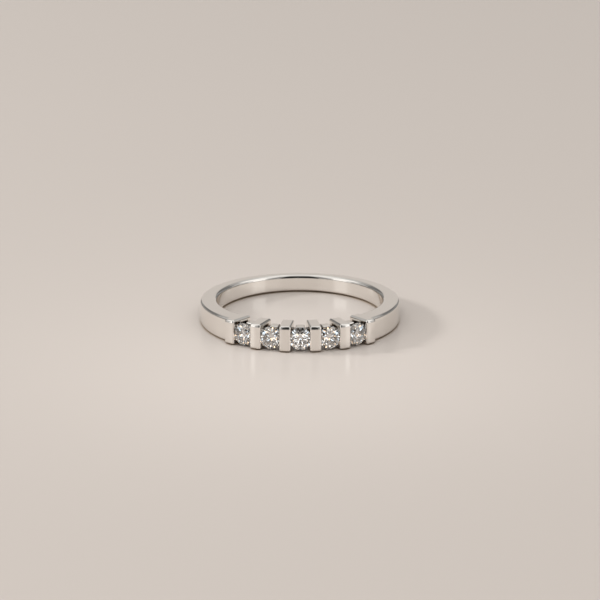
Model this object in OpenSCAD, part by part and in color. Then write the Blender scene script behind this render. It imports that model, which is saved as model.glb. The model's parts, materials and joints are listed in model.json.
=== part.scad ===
// Half eternity ring that lies on its side. Upright bars hold five round brilliants along
// the front. The finger hole's axis meets the surface that the ring rests on at the origin,
// and the head faces -Y. Sizes are in millimetres.

/* [Band] */
// Inner diameter, which is the finger size
inner_d = 17; // [15:0.1:21]
// Thickness of the wall at the back
back_wall = 1.25; // [1:0.05:1.6]
// Thickness that the wall would reach at the front, behind the stones
front_wall = 2.3; // [2:0.05:2.4]
// Width of the band at the back
back_w = 1.8; // [1.5:0.05:2.2]
// Width of the band at the face of the bars
front_w = 2.77; // [2.6:0.01:3.2]
// Leg of the bevel on the band's four edges
band_bevel = 0.2; // [0.08:0.01:0.25]

/* [Bars] */
// Angle from one bar to the next
bar_pitch = 16.3; // [15.8:0.1:17]
// Width of one bar, seen from the front
bar_w = 1.2; // [1:0.01:1.3]
// Depth of a bar, from the finger hole to its flat face
bar_depth = 2.65; // [2.55:0.01:2.9]
// Radius of the two upright front edges of a bar
bar_round = 0.18; // [0.1:0.01:0.35]
// Leg of the bevel on the top and bottom front edges of a bar
bar_bevel = 0.2; // [0.08:0.01:0.3]

/* [Rail] */
// Thickness of the rail that joins the bars behind the stones
rail_wall = 0.5; // [0.4:0.05:0.7]
// Height of that rail
rail_h = 1.1; // [0.8:0.05:1.4]
// Width of the seat block behind each stone
seat_w = 0.9; // [0.8:0.01:1.12]
// Height of the seat block
seat_h = 1.71; // [1.5:0.01:1.9]
// Depth of the seat block, from the finger hole
seat_depth = 1.05; // [0.7:0.01:1.1]
// Corner radius of the seat block
seat_round = 0.16; // [0.05:0.01:0.3]

/* [Stones] */
// Number of stones, each held between two bars
stone_count = 5; // [5:1:5]
// Diameter of one stone
stone_d = 2.3; // [2.1:0.01:2.35]
// How far the tables lie below the faces of the bars
table_drop = 0.07; // [0.02:0.01:0.1]
// Width of the table, as a part of the diameter
table_part = 0.56; // [0.53:0.01:0.6]
// Thickness of the girdle, as a part of the diameter
girdle_part = 0.03; // [0.02:0.005:0.04]
// Slope of the eight crown mains
crown_angle = 34.5; // [33:0.1:35.5]
// Slope of the eight pavilion mains
pavilion_angle = 40.8; // [40.2:0.1:41.4]
// Length of the star facets, as a part of the crown's slope
star_part = 0.5; // [0.45:0.01:0.55]
// Length of the lower halves, as a part of the pavilion's slope
lower_part = 0.77; // [0.7:0.01:0.82]
// Gap between a stone and the metal
stone_gap = 0.03; // [0.02:0.01:0.05]

/* [Hidden] */
$fn = 96;

inner_r = inner_d / 2;
outer_r = inner_r + (back_wall + front_wall) / 2;
outer_shift = (front_wall - back_wall) / 2;
face_r = inner_r + bar_depth;
bar_count = stone_count + 1;
head_half = bar_pitch * (bar_count - 1) / 2;

// The top and the underside of the band lean together towards the back
back_y = inner_r + back_wall;
taper = atan((front_w - back_w) / 2 / (back_y + face_r));
half_w = back_w / 2 + back_y * tan(taper);
plane_h = half_w * cos(taper);

// Larger than any piece, for solids that only cut
reach = 40;
// Depth to which a bar or a block starts inside the finger hole before the hole is cut
overlap = 0.5;

stone_r = stone_d / 2;
mains = 8;
main_turn = 360 / mains;
// Steps of the round girdle along each of the half facets that meet it
arc_steps = 4;
girdle_count = 2 * mains * arc_steps;
table_r = table_part * stone_r;
girdle_h = girdle_part * stone_d / 2;
table_h = girdle_h + (stone_r - table_r) * tan(crown_angle);
star_r = table_r * cos(main_turn / 2) + star_part * (stone_r - table_r * cos(main_turn / 2));
star_h = girdle_h + (stone_r - star_r * cos(main_turn / 2)) * tan(crown_angle);
upper_slope = atan((star_h - girdle_h) / ((stone_r - star_r) * cos(main_turn / 4)));
lower_r = (1 - lower_part) * stone_r;
lower_h = girdle_h + (stone_r - lower_r * cos(main_turn / 2)) * tan(pavilion_angle);
lower_slope = atan((lower_h - girdle_h) / ((stone_r - lower_r) * cos(main_turn / 4)));
culet_h = girdle_h + stone_r * tan(pavilion_angle);
girdle_from_axis = face_r - table_drop - table_h;

metal_colour = [0.82, 0.8, 0.78];
stone_colour = [0.93, 0.95, 0.97];

// Turns the ring from its own symmetry on to its underside, which brings the plane of that
// side level and leans the finger hole's axis back by the taper
module at_rest() {
    translate([0, plane_h * tan(taper), plane_h])
        rotate([-taper, 0, 0])
            children();
}

// Puts a shape that faces -Y in the head at an angle from the middle
module in_head(angle) {
    rotate([0, 0, angle]) children();
}

// Puts a shape under the plane z = 0 against the band's sloping top
module under_top() {
    rotate([-taper, 0, 0]) translate([0, 0, plane_h]) children();
}

// Gives a shape made for the top to the underside as well
module both_sides() {
    children();
    mirror([0, 0, 1]) children();
}

// The slice of the ring that the head fills
module head_slice() {
    far_x = reach * sin(head_half);
    far_y = -reach * cos(head_half);
    linear_extrude(height = reach, center = true)
        polygon([[0, 0], [-far_x, far_y], [-far_x, -2 * reach], [far_x, -2 * reach], [far_x, far_y]]);
}

// Cone whose flat end is the band's top, bevelled where it meets the outer wall
module band_top() {
    under_top()
        translate([0, -outer_shift, -reach])
            cylinder(h = reach, r1 = outer_r - band_bevel + reach, r2 = outer_r - band_bevel);
}

module shank() {
    difference() {
        intersection() {
            translate([0, -outer_shift, 0]) cylinder(h = reach, r = outer_r, center = true);
            band_top();
            mirror([0, 0, 1]) band_top();
        }
        head_slice();
    }
}

// Outline of a bar seen from above, with two rounded front corners
module bar_outline() {
    start = inner_r - overlap;
    corner_x = bar_w / 2 - bar_round;
    translate([-bar_w / 2, -(face_r - bar_round)]) square([bar_w, face_r - bar_round - start]);
    translate([-corner_x, -face_r]) square([2 * corner_x, bar_round + overlap]);
    for (side = [-1, 1])
        translate([side * corner_x, -(face_r - bar_round)]) circle(r = bar_round);
}

// Half space under the band's top, bevelled along the top front edge of a bar
module bar_top(angle) {
    bevel_r = face_r - bar_bevel;
    under_top()
        in_head(angle)
            rotate([90, 0, -90])
                linear_extrude(height = 4 * bar_w, center = true)
                    polygon([[0, 0], [bevel_r, 0], [bevel_r + reach, -reach], [0, -reach]]);
}

module bar(angle) {
    intersection() {
        in_head(angle) linear_extrude(height = reach, center = true) bar_outline();
        bar_top(angle);
        mirror([0, 0, 1]) bar_top(angle);
    }
}

module rail() {
    intersection() {
        cylinder(h = rail_h, r = inner_r + rail_wall, center = true);
        head_slice();
    }
}

// Upright rectangle with rounded corners
module rounded_rectangle(w, h, r) {
    square([w - 2 * r, h], center = true);
    square([w, h - 2 * r], center = true);
    for (x = [-1, 1], y = [-1, 1])
        translate([x * (w / 2 - r), y * (h / 2 - r)]) circle(r = r);
}

module seat_block() {
    translate([0, -(inner_r - overlap), 0])
        rotate([90, 0, 0])
            linear_extrude(height = seat_depth + overlap)
                rounded_rectangle(seat_w, seat_h, seat_round);
}

// Straight hole, with a cone at each end that crosses its wall and bevels the rim
module finger_hole() {
    cylinder(h = reach, r = inner_r, center = true);
    both_sides()
        under_top()
            translate([0, 0, -band_bevel - overlap])
                cylinder(h = 2 * overlap, r1 = inner_r - overlap, r2 = inner_r + overlap);
}

// Puts a stone with its table up at its place in the head
module at_seat(index) {
    in_head((index - (stone_count - 1) / 2) * bar_pitch)
        translate([0, -girdle_from_axis, 0])
            rotate([90, 0, 0])
                children();
}

// Outline of a stone turned about its axis, with the gap round it
module stone_room() {
    rotate_extrude()
        polygon([
            [0, -culet_h - 2 * stone_gap],
            [lower_r + stone_gap, -lower_h - stone_gap],
            [stone_r + stone_gap, -girdle_h - stone_gap],
            [stone_r + stone_gap, girdle_h + stone_gap],
            [star_r + stone_gap, star_h + stone_gap],
            [table_r + stone_gap, table_h + stone_gap],
            [0, table_h + stone_gap]
        ]);
}

module ring_body() {
    color(metal_colour)
        at_rest()
            difference() {
                union() {
                    shank();
                    rail();
                    for (index = [0 : bar_count - 1])
                        bar(index * bar_pitch - head_half);
                    for (index = [0 : stone_count - 1])
                        in_head((index - (stone_count - 1) / 2) * bar_pitch) seat_block();
                }
                finger_hole();
                for (index = [0 : stone_count - 1])
                    at_seat(index) stone_room();
            }
}

// Points round the stone's axis, at a radius and a height
function points_round(count, first, r, h) =
    [for (i = [0 : count - 1]) let (turn = first + i * 360 / count) [r * cos(turn), r * sin(turn), h]];

// How far the round girdle cuts into a flat facet of a slope, at one of the girdle's points
function girdle_dip(i, slope) =
    let (turn = (i % arc_steps) * main_turn / 2 / arc_steps - main_turn / 4)
        stone_r * (cos(turn) - cos(main_turn / 4)) * tan(slope);

// Points along one edge of the girdle, above or below its middle
function girdle_points(side, slope) =
    [for (i = [0 : girdle_count - 1]) let (turn = i * 360 / girdle_count)
        [stone_r * cos(turn), stone_r * sin(turn), side * (girdle_h - girdle_dip(i, slope))]];

// Numbers of the points at the start of each row
star_at = mains;
upper_at = 2 * mains;
under_at = upper_at + girdle_count;
lower_at = under_at + girdle_count;
culet_at = lower_at + mains;

// Number of a point in a row, counted round past the last one
function on_row(start, count, i) = start + (i + count) % count;

// Round brilliant with its table up and the middle of its girdle at the origin
module brilliant() {
    points = concat(
        points_round(mains, 0, table_r, table_h),
        points_round(mains, main_turn / 2, star_r, star_h),
        girdle_points(1, upper_slope),
        girdle_points(-1, lower_slope),
        points_round(mains, main_turn / 2, lower_r, -lower_h),
        [[0, 0, -culet_h]]
    );
    table = [[for (k = [mains - 1 : -1 : 0]) k]];
    stars = [for (k = [0 : mains - 1]) [k, on_row(0, mains, k + 1), star_at + k]];
    crown_mains = [for (k = [0 : mains - 1])
        [k, star_at + k, upper_at + 2 * arc_steps * k, on_row(star_at, mains, k - 1)]];
    upper_halves = [for (k = [0 : mains - 1], half = [0, 1])
        concat([star_at + k],
            [for (j = [arc_steps : -1 : 0]) on_row(upper_at, girdle_count, (2 * k + half) * arc_steps + j)])];
    girdle = [for (i = [0 : girdle_count - 1]) let (next = (i + 1) % girdle_count)
        [upper_at + i, upper_at + next, under_at + next, under_at + i]];
    lower_halves = [for (k = [0 : mains - 1], half = [0, 1])
        concat([lower_at + k],
            [for (j = [0 : arc_steps]) on_row(under_at, girdle_count, (2 * k + half) * arc_steps + j)])];
    pavilion_mains = [for (k = [0 : mains - 1])
        [culet_at, on_row(lower_at, mains, k - 1), under_at + 2 * arc_steps * k, lower_at + k]];
    polyhedron(
        points = points,
        faces = concat(table, stars, crown_mains, upper_halves, girdle, lower_halves, pavilion_mains)
    );
}

module stone(index) {
    color(stone_colour) at_rest() at_seat(index) brilliant();
}

module stone_1() { stone(0); }
module stone_2() { stone(1); }
module stone_3() { stone(2); }
module stone_4() { stone(3); }
module stone_5() { stone(4); }

ring_body();
stone_1();
stone_2();
stone_3();
stone_4();
stone_5();
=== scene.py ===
import bmesh
import bpy
import json
import math
import random
from mathutils import Euler, Matrix, Vector


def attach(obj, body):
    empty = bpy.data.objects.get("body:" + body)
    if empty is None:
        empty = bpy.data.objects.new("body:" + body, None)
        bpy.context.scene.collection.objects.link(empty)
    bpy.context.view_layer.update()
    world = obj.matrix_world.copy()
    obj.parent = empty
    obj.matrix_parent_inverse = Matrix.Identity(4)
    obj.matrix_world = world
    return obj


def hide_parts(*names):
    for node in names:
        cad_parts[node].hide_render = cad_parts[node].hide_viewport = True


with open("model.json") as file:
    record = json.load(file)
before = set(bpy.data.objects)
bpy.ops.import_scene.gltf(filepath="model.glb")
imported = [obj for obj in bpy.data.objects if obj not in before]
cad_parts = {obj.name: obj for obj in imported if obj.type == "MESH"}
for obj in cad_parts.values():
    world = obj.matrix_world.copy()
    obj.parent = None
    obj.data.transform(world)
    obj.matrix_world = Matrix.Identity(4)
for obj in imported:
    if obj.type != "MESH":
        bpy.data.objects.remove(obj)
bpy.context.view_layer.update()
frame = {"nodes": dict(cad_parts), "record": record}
mm = 0.001
mounts = {m["name"]: m for m in frame["record"]["mounts"]}
fingerHole = mounts["finger_hole"]
print("frame loaded:", sorted(frame["nodes"]))


# A wrapped socket: arithmetic on it adds Math nodes to its tree
class Wire:
    def __init__(self, tree, socket):
        self.tree = tree
        self.socket = socket

    def math(self, operation, *others):
        values = {i: v for i, v in enumerate((self,) + others)}
        return makeNode(self.tree, "ShaderNodeMath", {"operation": operation}, values)

    def __add__(self, other): return self.math("ADD", other)
    def __radd__(self, other): return self.math("ADD", other)
    def __sub__(self, other): return self.math("SUBTRACT", other)
    def __rsub__(self, other): return wireOf(self.tree, other).math("SUBTRACT", self)
    def __mul__(self, other): return self.math("MULTIPLY", other)
    def __rmul__(self, other): return self.math("MULTIPLY", other)
    def __truediv__(self, other): return self.math("DIVIDE", other)
    def __rtruediv__(self, other): return wireOf(self.tree, other).math("DIVIDE", self)
    def __neg__(self): return self.math("MULTIPLY", -1)
    def __pow__(self, other): return self.math("POWER", other)
    def __gt__(self, other): return self.math("GREATER_THAN", other)
    def __lt__(self, other): return self.math("LESS_THAN", other)


def wireOf(tree, value):
    node = tree.nodes.new("ShaderNodeValue")
    node.outputs[0].default_value = value
    return Wire(tree, node.outputs[0])


# Adds any node: its settings first, then values or links for its sockets, by name or number
def makeNode(tree, kind, settings=None, values=None, out=0):
    node = tree.nodes.new(kind)
    for name, value in (settings or {}).items():
        if name == "stops":
            fillRamp(node.color_ramp, value)
        else:
            setattr(node, name, value)
    for name, value in (values or {}).items():
        socket = node.inputs[name]
        for item in value if isinstance(value, list) else [value]:
            if isinstance(item, Wire):
                tree.links.new(item.socket, socket)
            else:
                socket.default_value = item
    return Wire(tree, node.outputs[out]) if len(node.outputs) else node


def fillRamp(ramp, stops):
    while len(ramp.elements) < len(stops):
        ramp.elements.new(0.5)
    for element, (place, colour) in zip(ramp.elements, stops):
        element.position = place
        element.color = colour


def outputs(wire):
    return {s.name: Wire(wire.tree, s) for s in wire.socket.node.outputs if s.enabled}


# A Geometry Nodes tree with named inputs, given as name: (socket type, value)
def makeTree(name, inputs):
    tree = bpy.data.node_groups.new(name, "GeometryNodeTree")
    tree.interface.new_socket("Geometry", in_out="OUTPUT", socket_type="NodeSocketGeometry")
    for inputName, (kind, value) in inputs.items():
        tree.interface.new_socket(inputName, in_out="INPUT", socket_type="NodeSocket" + kind)
    source = tree.nodes.new("NodeGroupInput")
    wires = {s.name: Wire(tree, s) for s in source.outputs if s.name}
    return tree, wires


# Runs a tree on an empty object and keeps the result as a plain mesh
def growMesh(name, tree, inputs):
    start = bpy.data.objects.new(name + "Start", bpy.data.meshes.new(name + "Start"))
    bpy.context.scene.collection.objects.link(start)
    modifier = start.modifiers.new("nodes", "NODES")
    modifier.node_group = tree
    for item in tree.interface.items_tree:
        if item.in_out == "INPUT":
            modifier[item.identifier] = inputs[item.name][1]
    bpy.context.view_layer.update()
    graph = bpy.context.evaluated_depsgraph_get()
    mesh = bpy.data.meshes.new_from_object(start.evaluated_get(graph), depsgraph=graph)
    mesh.name = name
    bpy.data.objects.remove(start)
    return mesh


def finishTree(tree, geometry, material):
    realized = makeNode(tree, "GeometryNodeRealizeInstances", {}, {"Geometry": geometry})
    coated = makeNode(tree, "GeometryNodeSetMaterial", {}, {"Geometry": realized, "Material": material})
    end = tree.nodes.new("NodeGroupOutput")
    tree.links.new(coated.socket, end.inputs[0])


def addObject(name, mesh):
    piece = bpy.data.objects.new(name, mesh)
    bpy.context.scene.collection.objects.link(piece)
    return piece


# The band: sizes in millimetres, angles in degrees
band = {
    "innerRadius": fingerHole["dims"]["r_mm"],
    "backWall": 1.25,
    "frontWall": 2.3,
    "backWidth": 1.8,
    "innerRound": 0.42,
    "outerRound": 0.27,
    "belowBars": 0.015,
    "innerSetBack": 0.012,
    "stepsAround": 300,
    "stepsRound": 7,
    "sharpAngle": 28,
}
band["outerRadius"] = band["innerRadius"] + (band["backWall"] + band["frontWall"]) / 2
band["outerShift"] = (band["frontWall"] - band["backWall"]) / 2
band["lean"] = math.asin(fingerHole["axis"][1])
band["halfWidth"] = band["backWidth"] / 2 + (band["innerRadius"] + band["backWall"]) * math.tan(band["lean"])
band["lift"] = band["halfWidth"] * math.cos(band["lean"])

# The six upright bars
bar = {
    "count": 6,
    "pitch": 16.3,
    "width": 1.2,
    "depth": 2.65,
    "uprightRound": 0.18,
    "frontRound": 0.3,
    "sideRound": 0.22,
    "holeRound": 0.12,
    "dome": 0.06,
    "strips": 6,
    "reachIn": 0.5,
    "rimProud": 0.002,
    "steps": 6,
}
headHalf = bar["pitch"] * (bar["count"] - 1) / 2
faceRadius = band["innerRadius"] + bar["depth"]

# The rail behind the stones and the seat block behind each stone
rail = {
    "wall": 0.5,
    "height": 1.1,
    "round": 0.08,
    "setBack": 0.02,
    "stepsAround": 60,
    "stepsRound": 4,
    "seatWidth": 0.9,
    "seatHeight": 1.71,
    "seatDepth": 1.05,
    "seatRound": 0.13,
    "seatSetBack": 0.04,
    "seatSteps": 5,
}

# The stones, as far as the metal needs them. Shoulder and taper are the room's width and height
# between its wide rings, as parts of the table and crown, and of the radius and depth
stone = {
    "count": 5,
    "diameter": 2.3,
    "drop": 0.07,
    "tablePart": 0.56,
    "girdlePart": 0.03,
    "crownAngle": 34.5,
    "pavilionAngle": 40.8,
    "gap": 0.03,
    "roomSides": 96,
    "shoulder": (1.35, 0.62),
    "taper": (0.23, 0.79),
    "tip": 0.02,
}


# A box in millimetres with its edges rounded by their own radii: pick(edge's middle) gives each radius
def roundedBlock(name, low, high, widest, steps, pick, cuts=()):
    shape = bmesh.new()
    bmesh.ops.create_cube(shape, size=1)
    for vert in shape.verts:
        vert.co = Vector(low[i] if vert.co[i] < 0 else high[i] for i in range(3))
    for x in cuts:
        everything = shape.verts[:] + shape.edges[:] + shape.faces[:]
        bmesh.ops.bisect_plane(shape, geom=everything, plane_co=(x, 0, 0), plane_no=(1, 0, 0))
    weights = shape.edges.layers.float.new("bevel_weight_edge")
    for edge in shape.edges:
        edge[weights] = pick((edge.verts[0].co + edge.verts[1].co) / 2) / widest
    mesh = bpy.data.meshes.new(name)
    shape.to_mesh(mesh)
    shape.free()
    block = addObject(name, mesh)
    bevel = block.modifiers.new("round", "BEVEL")
    bevel.limit_method = "WEIGHT"
    bevel.width = widest
    bevel.segments = steps
    block.hide_render = True
    return block


def barBlock():
    top = band["halfWidth"]
    half = bar["width"] / 2
    start = band["innerRadius"] - bar["reachIn"]

    def pick(middle):
        onFace = abs(middle.y + faceRadius) < 0.01
        atSide = abs(middle.x) > half * 0.9
        atEnd = abs(middle.z) > top * 0.9
        if onFace and atSide:
            return bar["uprightRound"]
        if onFace and atEnd:
            return bar["frontRound"]
        return bar["sideRound"] if atSide and atEnd else 0

    # Evenly wide strips across the front, for the dome
    flat = half - bar["uprightRound"]
    cuts = [flat * (2 * i / bar["strips"] - 1) for i in range(1, bar["strips"])]
    low, high = (-half, -faceRadius, -top), (half, -start, top)
    return roundedBlock("barBlock", low, high, bar["frontRound"], bar["steps"], pick, cuts)


def seatBlock():
    half = rail["seatWidth"] / 2
    top = rail["seatHeight"] / 2
    near = band["innerRadius"] + rail["seatSetBack"]
    far = band["innerRadius"] + rail["seatDepth"]
    low, high = (-half, -far, -top), (half, -near, top)
    corner = rail["seatRound"]
    return roundedBlock("seatBlock", low, high, corner, rail["seatSteps"], lambda middle: corner)


# Copies of a shape that faces -Y, fanned evenly about the ring's axis
def fanned(tree, shape, count, pitch):
    points = makeNode(tree, "GeometryNodePoints", {}, {"Count": count})
    turn = (makeNode(tree, "GeometryNodeInputIndex") - (count - 1) / 2) * pitch
    spin = makeNode(tree, "ShaderNodeCombineXYZ", {}, {"Z": turn})
    rotation = makeNode(tree, "FunctionNodeEulerToRotation", {}, {"Euler": spin})
    fan = makeNode(tree, "GeometryNodeInstanceOnPoints", {}, {
        "Points": points, "Instance": shape, "Rotation": rotation})
    return makeNode(tree, "GeometryNodeRealizeInstances", {}, {"Geometry": fan})


# A rectangle with round corners, swept along an arc about the ring's axis; a corner may be a field
def sweptRing(tree, path, wall, height, corner, steps):
    outline = makeNode(tree, "GeometryNodeCurvePrimitiveQuadrilateral", {"mode": "RECTANGLE"}, {
        "Width": wall, "Height": height})
    rounded = makeNode(tree, "GeometryNodeFilletCurve", {"mode": "POLY"}, {
        "Curve": outline, "Count": steps, "Radius": corner})
    return makeNode(tree, "GeometryNodeCurveToMesh", {}, {
        "Curve": path, "Profile Curve": rounded, "Fill Caps": True})


def arcPath(tree, radius, start, sweep, steps):
    return makeNode(tree, "GeometryNodeCurveArc", {"mode": "RADIUS"}, {
        "Resolution": steps, "Radius": radius, "Start Angle": start, "Sweep Angle": sweep})


def boolean(tree, operation, first, *others):
    if operation == "DIFFERENCE":
        links = {"Mesh 1": first, "Mesh 2": list(others)}
    else:
        links = {"Mesh 2": [first, *others]}
    return makeNode(tree, "GeometryNodeMeshBoolean", {"operation": operation, "solver": "MANIFOLD"}, links)


def splitPosition(tree):
    place = makeNode(tree, "GeometryNodeInputPosition")
    parts = makeNode(tree, "ShaderNodeSeparateXYZ", {}, {"Vector": place})
    return [outputs(parts)[axis] for axis in "XYZ"]


# The band, open at the head, with its outer wall moved off the finger hole's centre
def shankShape(tree, wires):
    inner = wires["Inner Radius"] + band["innerSetBack"]
    outer = wires["Outer Radius"]
    headAngle = wires["Head Angle"]
    wall = outer - inner
    middle = inner + wall / 2
    path = arcPath(tree, middle, headAngle / 2 - math.pi / 2, 2 * math.pi - headAngle, wires["Steps Around"])
    height = (wires["Half Width"] - band["belowBars"]) * 2
    across = splitPosition(tree)[0]
    corner = wires["Inner Round"] + (wires["Outer Round"] - wires["Inner Round"]) * (across > 0)
    swept = sweptRing(tree, path, wall, height, corner, wires["Steps Round"])
    x, y, z = splitPosition(tree)
    radius = (x * x + y * y) ** 0.5
    shift = wires["Outer Shift"]
    side = shift * x / radius
    reached = (outer * outer - side * side) ** 0.5 - shift * y / radius
    grow = (reached - outer) * (radius > middle) / radius
    offset = makeNode(tree, "ShaderNodeCombineXYZ", {}, {"X": x * grow, "Y": y * grow})
    return makeNode(tree, "GeometryNodeSetPosition", {}, {"Geometry": swept, "Offset": offset})


# The bars, faintly domed in front and cut to the finger hole with a small round rim of their own
def barShapes(tree, wires):
    block = outputs(makeNode(tree, "GeometryNodeObjectInfo", {}, {"Object": wires["Bar"]}))["Geometry"]
    x, y, z = splitPosition(tree)
    fall = wires["Dome"] * (x * x) / (bar["width"] / 2) ** 2 * (y < bar["frontRound"] * 2 - faceRadius)
    domed = makeNode(tree, "GeometryNodeSetPosition", {}, {
        "Geometry": block, "Offset": makeNode(tree, "ShaderNodeCombineXYZ", {}, {"Y": fall})})
    fan = fanned(tree, domed, bar["count"], wires["Pitch"])
    depth = 2 * bar["depth"]
    circle = makeNode(tree, "GeometryNodeCurvePrimitiveCircle", {"mode": "RADIUS"}, {
        "Resolution": wires["Steps Around"], "Radius": wires["Inner Radius"] + depth / 2})
    height = (wires["Half Width"] + bar["rimProud"]) * 2
    envelope = sweptRing(tree, circle, depth, height, wires["Hole Round"], wires["Steps Round"])
    return boolean(tree, "INTERSECT", fan, envelope)


def tapered(tree, wires, shape):
    x, y, z = splitPosition(tree)
    stretch = 1 - y * wires["Taper"] / wires["Half Width"]
    place = makeNode(tree, "ShaderNodeCombineXYZ", {}, {"X": x, "Y": y, "Z": z * stretch})
    return makeNode(tree, "GeometryNodeSetPosition", {}, {"Geometry": shape, "Position": place})


# The room for each stone: rings of points round its axis, wrapped in one hull
def stoneRoom(tree):
    radius = stone["diameter"] / 2
    girdle = stone["girdlePart"] * radius
    table = stone["tablePart"] * radius
    crown = (radius - table) * math.tan(math.radians(stone["crownAngle"]))
    depth = radius * math.tan(math.radians(stone["pavilionAngle"]))
    gap = stone["gap"]
    shoulder, taper = stone["shoulder"], stone["taper"]
    rings = [
        (radius + gap, girdle + gap),
        (radius + gap, -girdle - gap),
        (table * shoulder[0] + gap, girdle + crown * shoulder[1] + gap),
        (table + gap, girdle + crown + gap),
        (taper[0] * radius + gap, -girdle - taper[1] * depth - gap),
        (stone["tip"], -girdle - depth - 2 * gap),
    ]
    hoops = []
    for r, h in rings:
        hoop = makeNode(tree, "GeometryNodeMeshCircle", {}, {"Vertices": stone["roomSides"], "Radius": r})
        raised = makeNode(tree, "GeometryNodeTransform", {}, {"Geometry": hoop, "Translation": (0, 0, h)})
        hoops.append(raised)
    joined = makeNode(tree, "GeometryNodeJoinGeometry", {}, {"Geometry": hoops})
    hull = makeNode(tree, "GeometryNodeConvexHull", {}, {"Geometry": joined})
    place = -(faceRadius - stone["drop"] - girdle - crown)
    return makeNode(tree, "GeometryNodeTransform", {}, {
        "Geometry": hull, "Translation": (0, place, 0), "Rotation": Euler((math.pi / 2, 0, 0))})


def ringBodyTree(inputs):
    tree, wires = makeTree("ringBody", inputs)
    head = barShapes(tree, wires)
    shell = tapered(tree, wires, boolean(tree, "UNION", head, shankShape(tree, wires)))
    railWall = rail["wall"] - rail["setBack"]
    railPath = arcPath(tree, wires["Inner Radius"] + rail["setBack"] + railWall / 2,
                       -wires["Head Angle"] / 2 - math.pi / 2, wires["Head Angle"], rail["stepsAround"])
    railShape = sweptRing(tree, railPath, railWall, rail["height"], rail["round"], rail["stepsRound"])
    seat = outputs(makeNode(tree, "GeometryNodeObjectInfo", {}, {"Object": wires["Seat"]}))["Geometry"]
    seats = fanned(tree, seat, stone["count"], wires["Pitch"])
    metal = boolean(tree, "UNION", shell, railShape, seats)
    rooms = fanned(tree, stoneRoom(tree), stone["count"], wires["Pitch"])
    cut = boolean(tree, "DIFFERENCE", metal, rooms)
    laid = makeNode(tree, "GeometryNodeTransform", {}, {
        "Geometry": cut,
        "Translation": Vector((0, band["lift"] * math.tan(band["lean"]), band["lift"])),
        "Rotation": Euler((-band["lean"], 0, 0))})
    smooth = makeNode(tree, "GeometryNodeSetShadeSmooth", {}, {"Geometry": laid})
    finishTree(tree, smooth, wires["Metal"])
    return tree


# Sharp where faces really meet at an edge, and flat faces kept flat beside their rounds; the
# weighing compares areas in millimetres, so the mesh is brought to metres after it
def settleShading(name, mesh):
    mesh.set_sharp_from_angle(angle=math.radians(band["sharpAngle"]))
    rough = addObject(name + "Rough", mesh)
    weigh = rough.modifiers.new("weigh", "WEIGHTED_NORMAL")
    weigh.keep_sharp = True
    weigh.weight = 100
    bpy.context.view_layer.update()
    graph = bpy.context.evaluated_depsgraph_get()
    settled = bpy.data.meshes.new_from_object(rough.evaluated_get(graph), depsgraph=graph)
    settled.name = name
    settled.transform(Matrix.Scale(mm, 4))
    bpy.data.objects.remove(rough)
    return settled


def makeRingBody(metal):
    inputs = {
        "Inner Radius": ("Float", band["innerRadius"]),
        "Outer Radius": ("Float", band["outerRadius"]),
        "Outer Shift": ("Float", band["outerShift"]),
        "Half Width": ("Float", band["halfWidth"]),
        "Taper": ("Float", math.tan(band["lean"])),
        "Inner Round": ("Float", band["innerRound"]),
        "Outer Round": ("Float", band["outerRound"]),
        "Hole Round": ("Float", bar["holeRound"]),
        "Dome": ("Float", bar["dome"]),
        "Steps Around": ("Int", band["stepsAround"]),
        "Steps Round": ("Int", band["stepsRound"]),
        "Head Angle": ("Float", 2 * math.radians(headHalf)),
        "Pitch": ("Float", math.radians(bar["pitch"])),
        "Bar": ("Object", barBlock()),
        "Seat": ("Object", seatBlock()),
        "Metal": ("Material", metal),
    }
    tree = ringBodyTree(inputs)
    mesh = growMesh("ringBody", tree, inputs)
    for name in ("Bar", "Seat"):
        bpy.data.objects.remove(inputs[name][1])
    piece = addObject("ring_metal", settleShading("ringMetal", mesh))
    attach(piece, "root")
    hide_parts("ring_body")
    print("metal made:", len(piece.data.polygons), "faces")
    return piece


def newMaterial(name):
    material = bpy.data.materials.new(name)
    material.use_nodes = True
    tree = material.node_tree
    tree.nodes.clear()
    return material, tree


def mixColours(tree, factor, first, second):
    inputs = {"Factor": factor, 6: first, 7: second}
    return makeNode(tree, "ShaderNodeMix", {"data_type": "RGBA"}, inputs, out=2)


def closeMaterial(tree, surface):
    makeNode(tree, "ShaderNodeOutputMaterial", {}, {"Surface": surface})


# Polished white gold, with painted shade: darker and browner where it lies close against something
metalLook = {
    "clean": (0.93, 0.9, 0.86, 1),
    # painted shade: the dark brown colour standing in for shade in crevices and at the foot
    "crevice": (0.22, 0.18, 0.15, 1),
    "reach": 0.9,
    "openFrom": 0.12,
    "openTo": 0.7,
    "smoothest": 0.035,
    "roughest": 0.075,
    "polishSize": 0.35,
    "polishFrom": 0.3,
    "polishTo": 0.7,
    "waveSize": 3,
    "waveDepth": 0.004,
}


# A look's unshaded colour, turning to its painted shade colour close against something: ambient occlusion
# paints shade into the base colour
def shadeByOcclusion(tree, look):
    near = makeNode(tree, "ShaderNodeAmbientOcclusion", {"samples": 8}, {"Distance": look["reach"] * mm})
    openness = makeNode(tree, "ShaderNodeMapRange", {"interpolation_type": "SMOOTHSTEP"}, {
        "Value": outputs(near)["AO"], "From Min": look["openFrom"], "From Max": look["openTo"]})
    return mixColours(tree, openness, look["crevice"], look["clean"])


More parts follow.
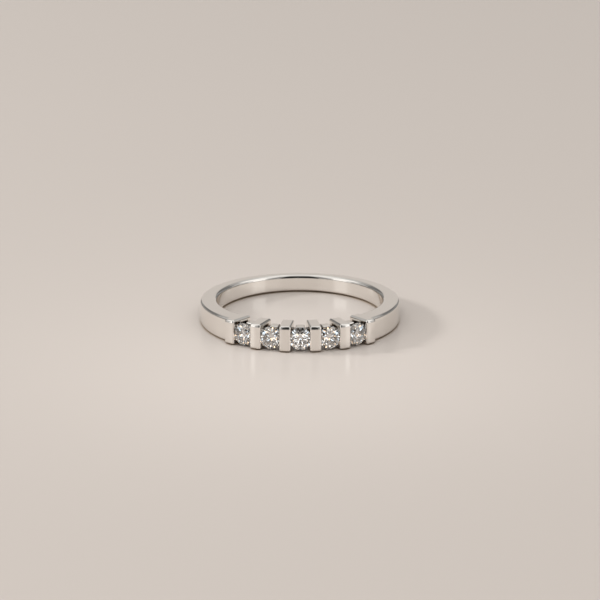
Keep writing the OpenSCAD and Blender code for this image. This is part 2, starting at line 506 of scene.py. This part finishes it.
def polishedMetal():
    material, tree = newMaterial("polishedWhiteGold")
    # painted shade in the metal's crevices, beside the bars and near the floor
    colour = shadeByOcclusion(tree, metalLook)
    place = outputs(makeNode(tree, "ShaderNodeTexCoord"))["Object"]
    polish = makeNode(tree, "ShaderNodeTexNoise", {}, {
        "Vector": place, "Scale": 1 / (metalLook["polishSize"] * mm), "Detail": 4})
    shine = makeNode(tree, "ShaderNodeMapRange", {}, {
        "Value": polish, "From Min": metalLook["polishFrom"], "From Max": metalLook["polishTo"],
        "To Min": metalLook["smoothest"], "To Max": metalLook["roughest"]})
    waves = makeNode(tree, "ShaderNodeTexNoise", {}, {
        "Vector": place, "Scale": 1 / (metalLook["waveSize"] * mm), "Detail": 1})
    surface = makeNode(tree, "ShaderNodeBump", {}, {
        "Height": waves, "Distance": metalLook["waveDepth"] * mm})
    closeMaterial(tree, makeNode(tree, "ShaderNodeBsdfPrincipled", {}, {
        "Base Color": colour, "Metallic": 1, "Roughness": shine, "Normal": surface}))
    return material


# Clear diamond, with its real refractive index
diamondLook = {
    "ior": 2.417,
    "colour": (0.95, 0.95, 0.948, 1),
}


def clearDiamond():
    material, tree = newMaterial("clearDiamond")
    closeMaterial(tree, makeNode(tree, "ShaderNodeBsdfGlass", {}, {
        "IOR": diamondLook["ior"], "Roughness": 0, "Color": diamondLook["colour"]}))
    return material


makeRingBody(polishedMetal())
diamond = clearDiamond()
for name, node in frame["nodes"].items():
    if name.startswith("stone"):
        node.data.materials.clear()
        node.data.materials.append(diamond)
print("stones finished")


# The floor, with a painted contact shadow: browner right beside what stands on it
floorLook = {
    "clean": (0.636, 0.575, 0.528, 1),
    # painted contact shadow: the brown colour the floor takes right beside the ring
    "crevice": (0.48, 0.37, 0.27, 1),
    "reach": 0.6,
    "openFrom": 0.2,
    "openTo": 0.72,
    "roughness": 0.2,
    "ior": 1.25,
}


def paleFloor():
    material, tree = newMaterial("paleFloor")
    surface = makeNode(tree, "ShaderNodeBsdfPrincipled", {}, {
        # painted contact shadow in the floor's base colour
        "Base Color": shadeByOcclusion(tree, floorLook),
        "Roughness": floorLook["roughness"],
        "IOR": floorLook["ior"],
    })
    closeMaterial(tree, surface)
    return material


# The studio: distances in metres, angles in degrees round from the camera's side and up from the floor
studio = {
    "floorSize": 6,
    "boxDistance": 0.6,
    "boxTurn": 65,
    "boxLift": 43,
    "boxWidth": 0.42,
    "boxHeight": 0.46,
    "leftGlow": 0.56,
    "rightGlow": 0.34,
    "fillLift": 48,
    "fillWidth": 0.3,
    "fillHeight": 0.2,
    "fillGlow": 3.5,
    "poolLift": 60,
    "poolDistance": 0.04,
    "poolSize": 0.024,
    "poolGlow": 1.6,
    "keyTurn": -99,
    "keyLift": 26,
    "keySize": 0.085,
    "keyGlow": 76,
}

# What the metal sees round it: dark behind the camera, bright at the sides, with a low strip on each
# side for the bars, grey low down at the back and bright above. It is made of rings, from the floor up.
# A ring starts at its own angle up and fades in over its width. Left and right are the same: a span
# holds the angle from the camera's side that it reaches to, its brightness, and its tint if not plain
air = {
    "plain": (1, 0.985, 0.965),
    "warm": (1, 0.93, 0.87),
    "seen": (0.62, 0.56, 0.51, 1),
    "soft": 1,
    "rings": [
        {"from": -90, "width": 1, "spans": [
            (27, 0.02), (45, 0.35), (60, 0.7), (76, 0.9), (92, 0.5), (165, 0.2), (180, 0.6, "warm")]},
        {"from": 8, "width": 2, "spans": [
            (27, 0.1), (45, 0.35), (60, 0.7), (76, 0.9), (92, 0.5), (165, 0.3), (180, 0.6, "warm")]},
        {"from": 15, "width": 3, "spans": [
            (27, 0.1), (50, 0.4), (70, 1.7), (80, 0.7), (115, 0.5), (165, 0.15), (180, 0.55, "warm")]},
        {"from": 26, "width": 2, "spans": [
            (27, 0.01), (50, 0.35), (80, 0.8), (115, 0.5), (165, 0.2), (180, 0.5, "warm")]},
        {"from": 34, "width": 2, "spans": [
            (27, 0.01), (45, 0.15), (60, 0.6), (110, 0.9), (165, 0.4), (180, 0.6)]},
        {"from": 43, "width": 2, "spans": [
            (45, 0.01), (60, 0.5), (120, 1.1), (165, 0.6), (180, 1)]},
        {"from": 60, "width": 3, "spans": [
            (35, 0.01), (120, 0.9), (180, 0.8)]},
        {"from": 75, "width": 2, "spans": [
            (180, 0.5)]},
    ],
}

# What the stones see round them: small patches, bright or dark and some tinted, drawn with a fixed
# seed and the same on both sides. A ring of patches starts at each angle up, and its patches end at
# the turns from the camera's side
sparkle = {
    "plain": (1, 0.99, 0.975),
    "slate": (0.86, 1, 1.14),
    "amber": (1.36, 0.98, 0.66),
    "soft": 0.5,
    "width": 1,
    "starts": (-90, 3, 10, 17, 24, 31, 38, 46, 55, 66),
    "turns": (10, 20, 30, 40, 50, 70, 110, 180),
    "glows": (0.004, 0.004, 0.3, 1, 3),
    "tints": ("plain", "plain", "slate", "amber"),
    "seed": 58,
}


def drawPatches(look):
    dice = random.Random(look["seed"])
    rings = []
    for start in look["starts"]:
        spans = [(turn, dice.choice(look["glows"]), dice.choice(look["tints"])) for turn in look["turns"]]
        rings.append({"from": start, "width": look["width"], "spans": spans})
    return rings


sparkle["rings"] = drawPatches(sparkle)


def makeFloor():
    half = studio["floorSize"] / 2
    mesh = bpy.data.meshes.new("floor")
    corners = [(-half, -half, 0), (half, -half, 0), (half, half, 0), (-half, half, 0)]
    mesh.from_pydata(corners, [], [(0, 1, 2, 3)])
    mesh.materials.append(paleFloor())
    addObject("floor", mesh)


def addLight(name, place, size, glow):
    light = bpy.data.lights.new(name, "AREA")
    light.shape = "RECTANGLE"
    light.size, light.size_y = size
    light.energy = glow * math.pi * size[0] * size[1]
    lamp = bpy.data.objects.new(name, light)
    bpy.context.scene.collection.objects.link(lamp)
    lamp.location = place
    lamp.rotation_euler = (-place).to_track_quat("-Z", "Y").to_euler()
    lamp.visible_camera = False
    lamp.visible_glossy = False
    lamp.visible_transmission = False


def fromAngles(turn, lift, distance):
    turn, lift = math.radians(turn), math.radians(lift)
    level = math.cos(lift)
    return Vector((math.sin(turn) * level, -math.cos(turn) * level, math.sin(lift))) * distance


# The lamps light what is dull; the metal and the stones see the air's own rings instead
def lightStudio():
    boxSize = (studio["boxWidth"], studio["boxHeight"])
    poolSize = (studio["poolSize"], studio["poolSize"])
    keySize = (studio["keySize"], studio["keySize"])
    fillSize = (studio["fillWidth"], studio["fillHeight"])
    far = studio["boxDistance"]
    for name, side in (("left", -1), ("right", 1)):
        place = fromAngles(side * studio["boxTurn"], studio["boxLift"], far)
        addLight(name + "Box", place, boxSize, studio[name + "Glow"])
    addLight("fill", fromAngles(0, studio["fillLift"], far), fillSize, studio["fillGlow"])
    addLight("pool", fromAngles(0, studio["poolLift"], studio["poolDistance"]), poolSize, studio["poolGlow"])
    addLight("key", fromAngles(studio["keyTurn"], studio["keyLift"], far), keySize, studio["keyGlow"])


def spanStops(look, spans):
    marks = []
    start = 0
    for end, level, *tint in spans:
        colour = [level * part for part in look[tint[0] if tint else "plain"]] + [1]
        marks += [((start + look["soft"]) / 180, colour), ((end - look["soft"]) / 180, colour)]
        start = end
    return marks


# The rings of a look, laid over one another from the floor up
def roomColour(tree, look, turn, lift):
    room = (0, 0, 0, 1)
    for ring in look["rings"]:
        stops = spanStops(look, ring["spans"])
        around = makeNode(tree, "ShaderNodeValToRGB", {"stops": stops}, {"Fac": turn})
        low, high = ring["from"] - ring["width"], ring["from"] + ring["width"]
        above = makeNode(tree, "ShaderNodeMapRange", {"interpolation_type": "SMOOTHSTEP"}, {
            "Value": lift, "From Min": low, "From Max": high})
        room = mixColours(tree, above, room, around)
    return room


def makeWorld():
    world = bpy.data.worlds.new("studioAir")
    bpy.context.scene.world = world
    world.use_nodes = True
    tree = world.node_tree
    tree.nodes.clear()
    direction = makeNode(tree, "ShaderNodeTexCoord")
    parts = makeNode(tree, "ShaderNodeSeparateXYZ", {}, {"Vector": outputs(direction)["Generated"]})
    x, y, z = [outputs(parts)[axis] for axis in "XYZ"]
    turn = (-y / (x * x + y * y) ** 0.5).math("ARCCOSINE") / math.pi
    lift = z.math("ARCSINE") * (180 / math.pi)
    ray = outputs(makeNode(tree, "ShaderNodeLightPath"))
    rooms = [roomColour(tree, look, turn, lift) for look in (air, sparkle)]
    room = mixColours(tree, ray["Is Transmission Ray"], *rooms)
    shown = mixColours(tree, ray["Is Camera Ray"], room, air["seen"])
    background = makeNode(tree, "ShaderNodeBackground", {}, {"Color": shown})
    makeNode(tree, "ShaderNodeOutputWorld", {}, {"Surface": background})


# The camera: a long lens, tilted down as in the photo
view = {
    "distance": 400,
    "turn": -0.28,
    "tilt": 18.5,
    "scale": 9.672,
    "aim": (0.021, 0, 1.954),
    "centre": (0, 0, 1),
    "sensor": 36,
    "frameWidth": 600,
    "clipStart": 0.01,
    "clipEnd": 20,
}


def makeCamera():
    camera = bpy.data.cameras.new("camera")
    camera.sensor_width = view["sensor"]
    camera.lens = view["scale"] * view["distance"] / view["frameWidth"] * view["sensor"]
    camera.clip_start = view["clipStart"]
    camera.clip_end = view["clipEnd"]
    holder = bpy.data.objects.new("camera", camera)
    bpy.context.scene.collection.objects.link(holder)
    away = fromAngles(view["turn"], view["tilt"], view["distance"])
    holder.location = (Vector(view["centre"]) + away) * mm
    holder.rotation_euler = (Vector(view["aim"]) * mm - holder.location).to_track_quat("-Z", "Y").to_euler()
    bpy.context.scene.camera = holder


makeFloor()
lightStudio()
makeWorld()
makeCamera()
scene = bpy.context.scene
scene.view_settings.view_transform = "Standard"
bounces = {
    "max_bounces": 32,
    "glossy_bounces": 16,
    "transmission_bounces": 24,
    "transparent_max_bounces": 8,
}
for kind, most in bounces.items():
    setattr(scene.cycles, kind, most)
print("studio lit")
